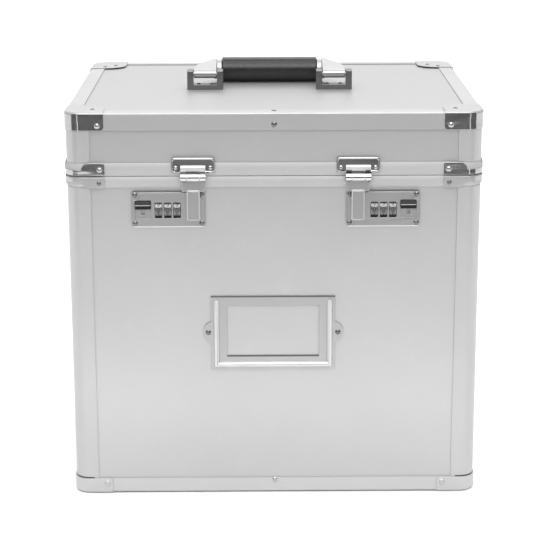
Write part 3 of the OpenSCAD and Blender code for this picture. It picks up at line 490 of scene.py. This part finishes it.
def line_inside(name):
    """Gives the faces of a wall board that look into the case the lining's material."""
    mesh = NODES[name].data
    low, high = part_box(name)
    thin = min(range(3), key=lambda i: (high - low)[i])
    middle_of_case = 0.15 if thin == 2 else 0
    inner = low[thin] if (low + high)[thin] / 2 > middle_of_case else high[thin]
    mesh.materials.append(felt.mat)
    for face in mesh.polygons:
        if abs(face.normal[thin]) > 0.9 and abs(face.center[thin] - inner) < 0.0005:
            face.material_index = 1


for board in PANELS:
    line_inside(board)


# ---------------------------------------------------------------- foam


def outline(width, depth, radius, steps=6):
    """Points of a rounded rectangle about the origin, anticlockwise."""
    points = []
    for k, (sx, sy) in enumerate(((1, 1), (-1, 1), (-1, -1), (1, -1))):
        cx, cy = sx * (width / 2 - radius), sy * (depth / 2 - radius)
        for i in range(steps + 1):
            a = math.radians(90 * k + 90 * i / steps)
            points.append((cx + radius * math.cos(a), cy + radius * math.sin(a)))
    return points


def prism(name, shapes):
    """One mesh of upright prisms, each (centre x, centre y, points, low z, high z)."""
    bm = bmesh.new()
    for cx, cy, points, low, high in shapes:
        rings = [[bm.verts.new((cx + x, cy + y, z)) for x, y in points] for z in (low, high)]
        bm.faces.new(list(reversed(rings[0])))
        bm.faces.new(rings[1])
        count = len(points)
        for i in range(count):
            j = (i + 1) % count
            bm.faces.new((rings[0][i], rings[0][j], rings[1][j], rings[1][i]))
    return placed(name, mesh_from(bm, name))


def applied(obj):
    """Bakes an object's modifiers into its mesh."""
    bpy.context.view_layer.update()
    graph = bpy.context.evaluated_depsgraph_get()
    mesh = bpy.data.meshes.new_from_object(obj.evaluated_get(graph))
    obj.modifiers.clear()
    obj.data = mesh
    return obj


def soften(obj, voxel, sag=0.0004):
    """Rounds a foam block's edges and leaves its faces very slightly uneven, as cut foam is."""
    remesh = obj.modifiers.new("cells", "REMESH")
    remesh.mode = "VOXEL"
    remesh.voxel_size = voxel
    applied(obj)
    smooth = obj.modifiers.new("round", "SMOOTH")
    smooth.factor, smooth.iterations = 0.5, 4
    clouds = bpy.data.textures.new(obj.name + "_clouds", "CLOUDS")
    clouds.noise_scale = 0.03
    rough = obj.modifiers.new("uneven", "DISPLACE")
    rough.texture, rough.texture_coords = clouds, "LOCAL"
    rough.strength, rough.mid_level = sag, 0.9
    applied(obj)
    for face in obj.data.polygons:
        face.use_smooth = True
    return obj


def cut_out(block, shapes):
    """Cuts prisms out of a foam block."""
    cutter = prism("cutter", shapes)
    cut = block.modifiers.new("cut", "BOOLEAN")
    cut.object, cut.operation, cut.solver = cutter, "DIFFERENCE", "EXACT"
    applied(block)
    bpy.data.objects.remove(cutter)


def finish_foam(obj, body, node):
    obj.data.materials.clear()
    obj.data.materials.append(foam.mat)
    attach(obj, body)
    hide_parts(node)
    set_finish(obj, "foam")


FOAM_CORNER_R = 0.016

# Wells of the insert in mm: left, front, width, depth front to back, depth down, corner radius
WELLS = (
    (-150, 16, 222, 104, 110, 14),
    (90, 16, 60, 104, 80, 12),
    (-150, -120, 172, 116, 92, 14),
    (40, -120, 48, 116, 100, 10),
    (102, -120, 48, 116, 100, 10),
)


# Finger notches in the walls between the wells, in metres: middle x, middle y, width, depth front to back
NOTCHES = ((-0.064, 0.007, 0.034, 0.026), (0.081, 0.068, 0.026, 0.034), (0.031, -0.062, 0.026, 0.034))


def foam_block(node, name):
    low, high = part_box(node)
    size = high - low
    return prism(name, [(0, 0, outline(size.x, size.y, FOAM_CORNER_R), low.z, high.z)])


def foam_insert():
    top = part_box("foam_insert")[1].z
    block = foam_block("foam_insert", "foam_insert_cut")
    wells = []
    for well in WELLS:
        x, y, w, d, down, r = (v / 1000 for v in well)
        wells.append((x + w / 2, y + d / 2, outline(w, d, r), top - down, top + 0.01))
    cut_out(block, wells)
    cut_out(block, [(x, y, outline(w, d, 0.0125), top - 0.03, top + 0.01) for x, y, w, d in NOTCHES])
    return soften(block, 0.004)


def egg_crate():
    """The lid's pad: flat against the lid's board, with rounded peaks that press down on the load."""
    low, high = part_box("lid_foam")
    half_x, half_y, corner = high.x, high.y, FOAM_CORNER_R
    pitch, depth = 0.034, 0.013
    cols, rows = 130, 106
    bm = bmesh.new()
    grid = []
    for top in (0, 1):
        sheet = []
        for j in range(rows + 1):
            row = []
            for i in range(cols + 1):
                x, y = half_x * (2 * i / cols - 1), half_y * (2 * j / rows - 1)
                over_x, over_y = abs(x) - (half_x - corner), abs(y) - (half_y - corner)
                if over_x > 0 and over_y > 0:
                    far, across = max(over_x, over_y), math.hypot(over_x, over_y)
                    x = math.copysign(half_x - corner + over_x * far / across, x)
                    y = math.copysign(half_y - corner + over_y * far / across, y)
                wave = math.cos(2 * math.pi * x / pitch) * math.cos(2 * math.pi * y / pitch)
                edge = min(half_x - abs(x), half_y - abs(y))
                lift = depth * (0.5 - 0.5 * wave) + 0.003 * max(0, 1 - edge / 0.004) ** 2
                row.append(bm.verts.new((x, y, high.z - 0.0002 if top else low.z + 0.0003 + lift)))
            sheet.append(row)
        grid.append(sheet)
    for j in range(rows):
        for i in range(cols):
            a, b = grid[0], grid[1]
            bm.faces.new((a[j][i], a[j + 1][i], a[j + 1][i + 1], a[j][i + 1]))
            bm.faces.new((b[j][i], b[j][i + 1], b[j + 1][i + 1], b[j + 1][i]))
    for i in range(cols):
        bm.faces.new((grid[0][0][i], grid[0][0][i + 1], grid[1][0][i + 1], grid[1][0][i]))
        bm.faces.new((grid[0][rows][i + 1], grid[0][rows][i], grid[1][rows][i], grid[1][rows][i + 1]))
    for j in range(rows):
        bm.faces.new((grid[0][j + 1][0], grid[0][j][0], grid[1][j][0], grid[1][j + 1][0]))
        bm.faces.new((grid[0][j][cols], grid[0][j + 1][cols], grid[1][j + 1][cols], grid[1][j][cols]))
    mesh = mesh_from(bm, "lid_egg_crate_foam")
    for face in mesh.polygons:
        face.use_smooth = abs(face.normal.z) > 0.3
    return placed("lid_egg_crate_foam", mesh)


finish_foam(foam_insert(), "case_body", "foam_insert")
finish_foam(soften(foam_block("foam_floor_pad", "foam_floor_layer"), 0.0045), "case_body", "foam_floor_pad")
finish_foam(egg_crate(), "lid", "lid_foam")


# ---------------------------------------------------------------- dial numbers


def number_mesh(number):
    curve = bpy.data.curves.new("number", "FONT")
    curve.body = str(number)
    curve.size = 0.0056
    curve.extrude = 0.00003
    curve.align_x, curve.align_y = "CENTER", "CENTER"
    obj = placed("number", curve)
    bpy.context.view_layer.update()
    mesh = bpy.data.meshes.new_from_object(obj.evaluated_get(bpy.context.evaluated_depsgraph_get()))
    bpy.data.objects.remove(obj)
    return mesh


NUMBERS = [number_mesh(n) for n in range(10)]


def dial_numbers(side, n):
    """The ten numbers round one dial, each on its own flat."""
    low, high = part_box(f"dial_{side}_{n}")
    centre = (low + high) / 2
    flat = DIAL_R * math.cos(math.radians(18)) + 0.00001
    bm = bmesh.new()
    for k, mesh in enumerate(NUMBERS):
        part = mesh.copy()
        turn = Matrix.Rotation(math.radians(36 * k), 4, "X") @ Matrix.Rotation(math.radians(90), 4, "X")
        part.transform(Matrix.Translation(centre) @ turn @ Matrix.Translation((0, 0, flat)))
        bm.from_mesh(part)
        bpy.data.meshes.remove(part)
    obj = placed(f"dial_numbers_{side}_{n}", mesh_from(bm, f"dial_numbers_{side}_{n}"))
    obj.data.materials.append(ink.mat)
    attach(obj, f"dial_{side}_{n}")
    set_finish(obj, "dial")


for dial in DIALS:
    dial_numbers(*dial)


# ---------------------------------------------------------------- button springs


def button_spring(side):
    """The wire spring under a release button, as a smooth-shaded copy of the CAD coil."""
    node = NODES[f"button_spring_{side}"]
    obj = placed(f"button_spring_{side}_coil", node.data.copy())
    for face in obj.data.polygons:
        face.use_smooth = True
    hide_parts(node.name)
    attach(obj, "case_body")
    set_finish(obj, "bright_hardware")
    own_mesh(obj)


for side in SIDES:
    button_spring(side)


# ---------------------------------------------------------------- floor, light, camera


def stage_floor():
    s = Shader("pale_floor", 0.6)
    s.set("Base Color", s.mix(s.noise(3, 2), grey(0.9), grey(0.94)))
    s.bump(s.noise(120, 2), 0.05, 0.0003)
    bm = bmesh.new()
    bmesh.ops.create_grid(bm, x_segments=2, y_segments=2, size=9)
    obj = placed("floor", mesh_from(bm, "floor"))
    obj.data.materials.append(s.mat)
    obj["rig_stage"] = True


def softbox(name, place, target, size, power):
    data = bpy.data.lights.new(name, "AREA")
    data.shape = "RECTANGLE"
    data.size, data.size_y = size
    data.energy = power
    obj = placed(name, data)
    obj.location = place
    obj.visible_camera = False
    obj.rotation_euler = (Vector(target) - Vector(place)).to_track_quat("-Z", "Y").to_euler()


def world_light():
    """Even white light from all round, like a tent that is open and dark at the front."""
    world = bpy.data.worlds.new("studio")
    bpy.context.scene.world = world
    world.use_nodes = True
    tree = world.node_tree
    coord = tree.nodes.new("ShaderNodeTexCoord").outputs["Generated"]
    split = tree.nodes.new("ShaderNodeSeparateXYZ")
    tree.links.new(coord, split.inputs[0])

    def ramp(axis, start, end, low, high):
        node = tree.nodes.new("ShaderNodeMapRange")
        node.interpolation_type = "SMOOTHSTEP"
        tree.links.new(split.outputs[axis], node.inputs["Value"])
        for key, value in (("From Min", start), ("From Max", end), ("To Min", low), ("To Max", high)):
            node.inputs[key].default_value = value
        return node.outputs["Result"]

    def combine(operation, a, b):
        node = tree.nodes.new("ShaderNodeMath")
        node.operation = operation
        tree.links.new(a, node.inputs[0])
        tree.links.new(b, node.inputs[1])
        return node.outputs[0]

    opening = combine("MULTIPLY", ramp("Y", -0.55, -0.4, 1, 0), ramp("Z", 0.25, 0.6, 1, 0))
    back = tree.nodes["Background"]
    level = tree.nodes.new("ShaderNodeMapRange")
    tree.links.new(opening, level.inputs["Value"])
    level.inputs["To Min"].default_value = 1.0
    level.inputs["To Max"].default_value = 0.1
    tree.links.new(level.outputs["Result"], back.inputs["Color"])
    back.inputs["Strength"].default_value = 0.88


def dark_card():
    """The dark room in front of the tent: only reflections see it."""
    mesh = bpy.data.meshes.new("dark_card")
    near, far, steps = 1.19, 6, 24
    turns = [math.radians(-62 + 124 * k / steps) for k in range(steps + 1)]
    points = [(r * math.sin(a), -r * math.cos(a), 0.002) for a in turns for r in (near, far)]
    mesh.from_pydata(points, [], [(2 * k, 2 * k + 1, 2 * k + 3, 2 * k + 2) for k in range(steps)])
    s = Shader("dark_room", 0.9)
    s.set("Base Color", s.mix(s.span(s.noise(5, 2), 0.4, 0.65, 0, 1), grey(0.02), grey(0.16)))
    mesh.materials.append(s.mat)
    obj = placed("dark_card", mesh)
    obj.visible_camera = obj.visible_diffuse = obj.visible_shadow = obj.visible_transmission = False
    obj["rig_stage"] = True


stage_floor()
dark_card()
world_light()
softbox("overhead", (0, -0.8, 2.2), (0, -0.6, 0), (2.4, 1.8), 24)
softbox("front", (0, -2.6, 2.4), (0, -0.2, 0.1), (2.6, 1.5), 45)
softbox("behind", (0, 2.8, 2.6), (0, 2.4, 0), (5, 3), 90)
softbox("low", (0, -0.36, 0.02), (0, -0.15, 0.03), (0.8, 0.03), 0.065)
for side in (-1, 1):
    softbox("strip", (side * 0.55, -1.17, 0.25), (side * 0.16, -0.13, 0.3), (0.05, 0.7), 0.25)

# The photo's camera, from a perspective fit to the case's corners; the focal length is in pixels
CAMERA_AT = Vector((-0.01194, -1.60859, 0.59522))
FOCAL_LENGTH, IMAGE_SIDE = 1752.5, 550
YAW, PITCH, ROLL = math.radians(0.486), math.radians(15.11), math.radians(-0.129)
ahead = Vector((math.sin(YAW) * math.cos(PITCH), math.cos(YAW) * math.cos(PITCH), -math.sin(PITCH)))
right = Vector((math.cos(YAW), -math.sin(YAW), 0))
up = right.cross(ahead)
tilted_right = right * math.cos(ROLL) + up * math.sin(ROLL)
tilted_up = up * math.cos(ROLL) - right * math.sin(ROLL)
camera_data = bpy.data.cameras.new("camera")
camera_data.sensor_width = 36
camera_data.lens = FOCAL_LENGTH * camera_data.sensor_width / IMAGE_SIDE
camera = placed("camera", camera_data)
turn = Matrix((tilted_right, tilted_up, -ahead)).transposed().to_4x4()
camera.matrix_world = Matrix.Translation(CAMERA_AT) @ turn
bpy.context.scene.camera = camera
bpy.context.scene.view_settings.view_transform = "Standard"

# Each CAD part keeps the finish that the record gives it
slots = {part["node"]: part["material_slot"] for part in frame["record"]["subparts"]}
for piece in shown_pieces():
    if "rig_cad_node" in piece and "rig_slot" not in piece:
        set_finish(piece, slots[piece.name])
